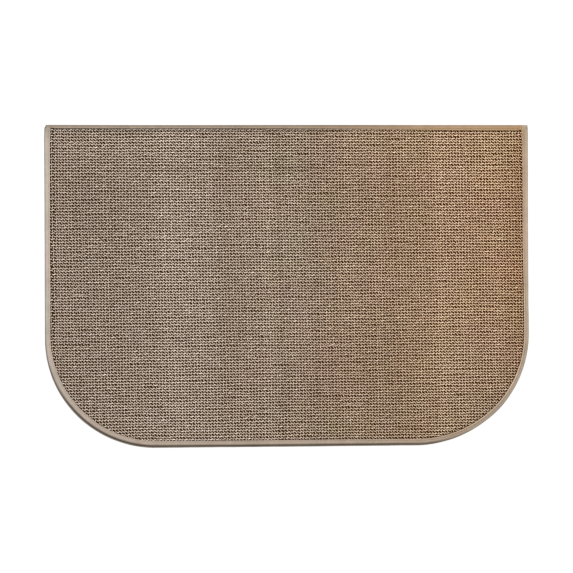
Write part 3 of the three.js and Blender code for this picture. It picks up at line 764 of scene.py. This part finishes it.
def tape_back():
    lx, rx = -380.52, 378.85
    near = np.concatenate([[0.02, 0.15, 0.4, 0.8], np.arange(1.4, 10, 0.8)])
    middle = np.linspace(lx + 10.5, rx - 10.5, int((rx - lx - 21) / STEP))
    x = np.concatenate([lx + near, middle, (rx - near)[::-1]])
    to_left, to_right = x - lx, rx - x
    reach = (0.62 + 0.4 * smooth(-40, 60, x) + 0.2 * smooth(150, 240, x)) * smooth(11, 20, np.minimum(to_left, to_right))
    width = along(BACK_EDGE, x, 2) + reach
    # towards the ends the tape follows the two corners
    cut_x, cut_y = BACK_LEFT_CUT
    r = BACK_RIGHT_R
    drop = np.maximum(cut_y * (1 - to_left / cut_x), r - np.sqrt(r * r - np.clip(r - to_right, 0, r) ** 2))
    drop = np.clip(drop, 0, width - 0.25)
    y_out = along(BACK_EDGE, x, 1) - drop
    seam = along(BACK_LOOK, x, 4)
    s = x - x[0]
    stitch = s / 4.8
    pull = 0.5 + 0.5 * np.cos(2 * np.pi * stitch)
    room = width - drop
    base_section = [np.array(tape_section(w, q)) for w, q in zip(width, seam)]
    section = np.stack(base_section)
    d0, z, level = section[..., 0], section[..., 1].copy(), section[..., 2]
    d = d0 * (room / width)[:, None]
    full = d + drop[:, None]  # distance in from the straight line of the back edge
    # distance to the outline, ends and their corners included
    near_end = np.minimum(to_left, to_right)[:, None]
    a, b = np.clip(r - to_right[:, None], 0, None), np.clip(r - full, 0, None)
    slant = (to_left[:, None] / cut_x + full / cut_y - 1) * cut_x * cut_y / math.hypot(cut_x, cut_y)
    dist = np.where((a > 0) & (b > 0), r - np.hypot(a, b), np.minimum(near_end, full))
    dist = np.clip(np.minimum(dist, slant), 0, None)
    breathe = 0.05 * wander(1, s, 26.0)[0] + 0.04 * wander(1, s, 7.0)[0]
    inner = (width[:, None] - full)
    flat = TAPE_MID_Z + (EDGE_H - TAPE_MID_Z) * np.sqrt(1 - np.clip(1 - dist / (4.2 * width[:, None] / 9), 0, 1) ** 2)
    body = flat - 0.22 * (0.7 + 0.6 * pull)[:, None] * np.exp(-(((full - (seam * width)[:, None]) / 0.7) ** 2)) - 0.05
    body = body - (0.85 - 0.45 * smooth(-20, 200, x))[:, None] * np.clip(1 - inner / 0.7, 0, 1) ** 2
    top = body + breathe[:, None] * smooth(0.5, 3.0, dist)
    upper = level == 1
    z = np.where(upper, np.maximum(top, TAPE_MID_Z), z)
    # towards the ends the lower turn and the underside rise to meet the upper face
    low_k = 2.4 * width[:, None] / 9
    under = TAPE_MID_Z * (1 - np.sqrt(1 - np.clip(1 - dist / low_k, 0, 1) ** 2))
    z = np.where((level == 0) | (level == -1), np.maximum(under, 0), z)
    # the slot closes before the ends
    slot = level == 2
    mid = (TAPE_T + TAPE_CAVITY_Z) / 2
    z = np.where(slot, np.where(near_end < 4.2, np.clip(z, under + 0.25, np.maximum(flat - 0.25, under + 0.3)), z), z)
    lean = 0.05 * (full - 4) * smooth(10, 0, to_right)[:, None]  # the right end leans in a little
    verts = np.stack([x[:, None] + lean, y_out[:, None] - d, z], -1)
    base = np.stack([linear(*c) for c in np.stack([along(BACK_LOOK, x, c) for c in (1, 2, 3)], -1)])[:, None] * TAPE_GAIN / EXPOSURE
    corner = linear(182, 169, 152) / EXPOSURE
    at_left, at_right = smooth(6.6, 5.0, to_left)[:, None, None], smooth(8.6, 7.4, to_right)[:, None, None]
    base = base * (1 - at_left) + corner * at_left
    base = base * (1 - at_right) + linear(190, 168, 138) / EXPOSURE * at_right
    tone = 1 + 0.03 * wander(1, s, 14.0)[0][:, None] + 0.02 * wander(1, s, 5.0)[0][:, None]
    warm = smooth(60, 260, x)[:, None]
    line = np.exp(-(((dist - 1.9) / 1.2) ** 2)) * upper
    outer = 1 - ((0.50 - 0.28 * warm) * (1 - 0.8 * at_right[..., 0]) * line)[..., None] * np.array([1.06, 1.0, 0.85])
    outer = outer * (1 + warm[..., None] * (smooth(3.6, 1.6, dist) * upper)[..., None] * np.array([0.0, 0.04, 0.22]))
    # painted shade: darker along the tape's inner edge, where it rolls down onto the cloth, and in the valley along the
    # stitches
    seam_dark = 1 - (0.10 - 0.08 * warm) * smooth(1.1, 0.4, inner) * upper
    seam_dark = seam_dark * (1 - (0.04 + 0.12 * warm) * (0.3 + 0.9 * pull[:, None]) * np.exp(-(((full - (seam * width)[:, None]) / 0.9) ** 2)) * upper)
    tint = base * outer * (seam_dark * tone)[..., None]
    # painted shade inside the slot that holds the cloth
    tint = np.where(slot[..., None], tint * 0.6, tint)
    m, n = d.shape[1], len(x)
    k = np.arange(m)
    ring = np.arange(n - 1)[:, None] * m
    a, b = ring + k, ring + (k + 1) % m
    quads = np.stack([a, a + m, b + m, b], -1).reshape(-1, 4)
    caps = np.stack([k, (k + (n - 1) * m)[::-1]])
    lay = np.stack([np.broadcast_to(s[:, None], d.shape), np.cumsum(np.abs(np.diff(d, axis=1, prepend=d[:, :1])), 1)], -1)
    ob = mesh_piece("back_tape", verts.reshape(-1, 3), [quads[:, ::-1], caps[:, ::-1]], back_tape, tint.reshape(-1, 3), lay.reshape(-1, 2))
    one = np.ones_like(x)
    stations = dict(x=x, y=y_out, nx=0 * one, ny=-one, s=s, width=room, seam=(seam * width - drop) / room, stitch=stitch, colour=base[:, 0])
    return ob, stations, (room > 3) & (to_left > 4) & (to_right > 4)


back, back_line, sewn = tape_back()
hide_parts("back_binding")

# ----------------------------------------------------------------- stitches
# A run of lockstitch along each tape: on top one thread from hole to hole, a
# little sunk in the tape, and the under thread in its furrow below.


def stitches(name, line, tapes, start, stop, thick, mat):
    """tapes are the meshes whose upper face the threads lie on."""
    depsgraph = bpy.context.evaluated_depsgraph_get()
    key = line["stitch"]
    parts = []
    t = np.array([0.04, 0.14, 0.5, 0.86, 0.96])
    rise = np.array([-0.42, -0.06, 0.08, -0.06, -0.42])
    taper = np.array([0.55, 0.92, 1.0, 0.92, 0.55])
    for k in range(int(math.ceil(start)), int(stop)):
        side = rng.normal(0, 0.10)
        at = k + t + rng.normal(0, 0.015)
        x, y, nx, ny, width, seam = (np.interp(at, key, line[c]) for c in ("x", "y", "nx", "ny", "width", "seam"))
        colour = np.stack([np.interp(at, key, line["colour"][:, c]) for c in range(3)], -1)
        d = width * seam + side
        px, py = x + nx * d, y + ny * d
        face = np.array([tapes.ray_cast((a * MM, b * MM, 0.02), (0, 0, -1), depsgraph=depsgraph)[1][2] / MM for a, b in zip(px, py)])
        face = np.interp(t, t[1:4], face[1:4])
        tone = 1.0 + rng.normal(0, 0.04)
        # the upper thread is painted a little lighter and the under thread darker: painted light and shade on one
        # thread
        for z, r, shade, use in ((face + rise * thick / 0.7, thick / 2, 1.05, [0, 1, 2, 3, 4]), (np.array([0.78, 0.3, 0.28, 0.3, 0.78]), 0.26, 0.9, [0, 2, 4])):
            centre = np.stack([px, py, z], -1)[use]
            way = np.gradient(centre, axis=0)
            way /= np.linalg.norm(way, axis=1)[:, None]
            across = np.cross([0, 0, 1.0], way)
            across /= np.linalg.norm(across, axis=1)[:, None]
            up = np.cross(way, across)
            half = taper[use][:, None] * r
            verts, quads, caps = tube(centre, across * half, up * half, 5, 0.3)
            ring = np.repeat(use, 5)
            tint = (colour * tone * shade)[ring]
            lay = np.stack([t[ring] * 4.5, np.tile(np.arange(5) / 5, len(use))], -1)
            parts.append((verts, [quads, caps], tint, lay))
    verts, faces, tint, lay = joined(parts)
    return mesh_piece(name, verts, faces, mat, tint, lay)


thread = yarn_material("thread", 0.8, 1.6)
side_stitches = stitches("side_stitches", edge_line, edge, 1.0, edge_line["stitch"][-1] - 1, 0.70, thread)
back_keys = back_line["stitch"][sewn]
back_stitches = stitches("back_stitches", back_line, back, back_keys[0], back_keys[-1] - 1, 0.65, thread)

# ------------------------------------------------------------------ the rest

for piece in [ground, edge, back, side_stitches, back_stitches, *pieces]:
    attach(piece, "root")

# -------------------------------------------------------------- floor, light

floor_mat, nt, shader = material("floor")
shader.inputs["Base Color"].default_value = (0.05, 0.05, 0.05, 1)
shader.inputs["Roughness"].default_value = 0.9
shader.inputs["Specular IOR Level"].default_value = 0.0
shader.inputs["Emission Color"].default_value = (1, 1, 1, 1)
shader.inputs["Emission Strength"].default_value = 0.955
me = bpy.data.meshes.new("floor")
me.from_pydata([(-6, -6, -0.0003), (6, -6, -0.0003), (6, 6, -0.0003), (-6, 6, -0.0003)], [], [(0, 1, 2, 3)])
me.materials.append(floor_mat)
floor = bpy.data.objects.new("floor", me)
bpy.context.scene.collection.objects.link(floor)

world = bpy.data.worlds.new("studio")
world.use_nodes = True
world.node_tree.nodes["Background"].inputs[0].default_value = (1, 1, 1, 1)
world.node_tree.nodes["Background"].inputs[1].default_value = 0.55
bpy.context.scene.world = world


def area_light(name, place, aim, size, power):
    data = bpy.data.lights.new(name, "AREA")
    data.shape, data.size, data.energy = "SQUARE", size, power
    ob = bpy.data.objects.new(name, data)
    ob.location = place
    direction = np.array(aim, float) - np.array(place, float)
    from mathutils import Vector
    ob.rotation_euler = Vector(direction).to_track_quat("-Z", "Y").to_euler()
    ob.visible_camera = False
    bpy.context.scene.collection.objects.link(ob)
    return ob


area_light("key", (-0.5, 2.2, 2.4), (0, 0, 0), 1.6, 62)
area_light("top", (0.2, -0.1, 3.4), (0, 0, 0), 2.2, 45)

scene = bpy.context.scene
scene.view_settings.view_transform = "Standard"
scene.view_settings.look = "None"
scene.cycles.denoising_prefilter = "NONE"  # keeps the fine weave
scene.cycles.filter_width = 1.3
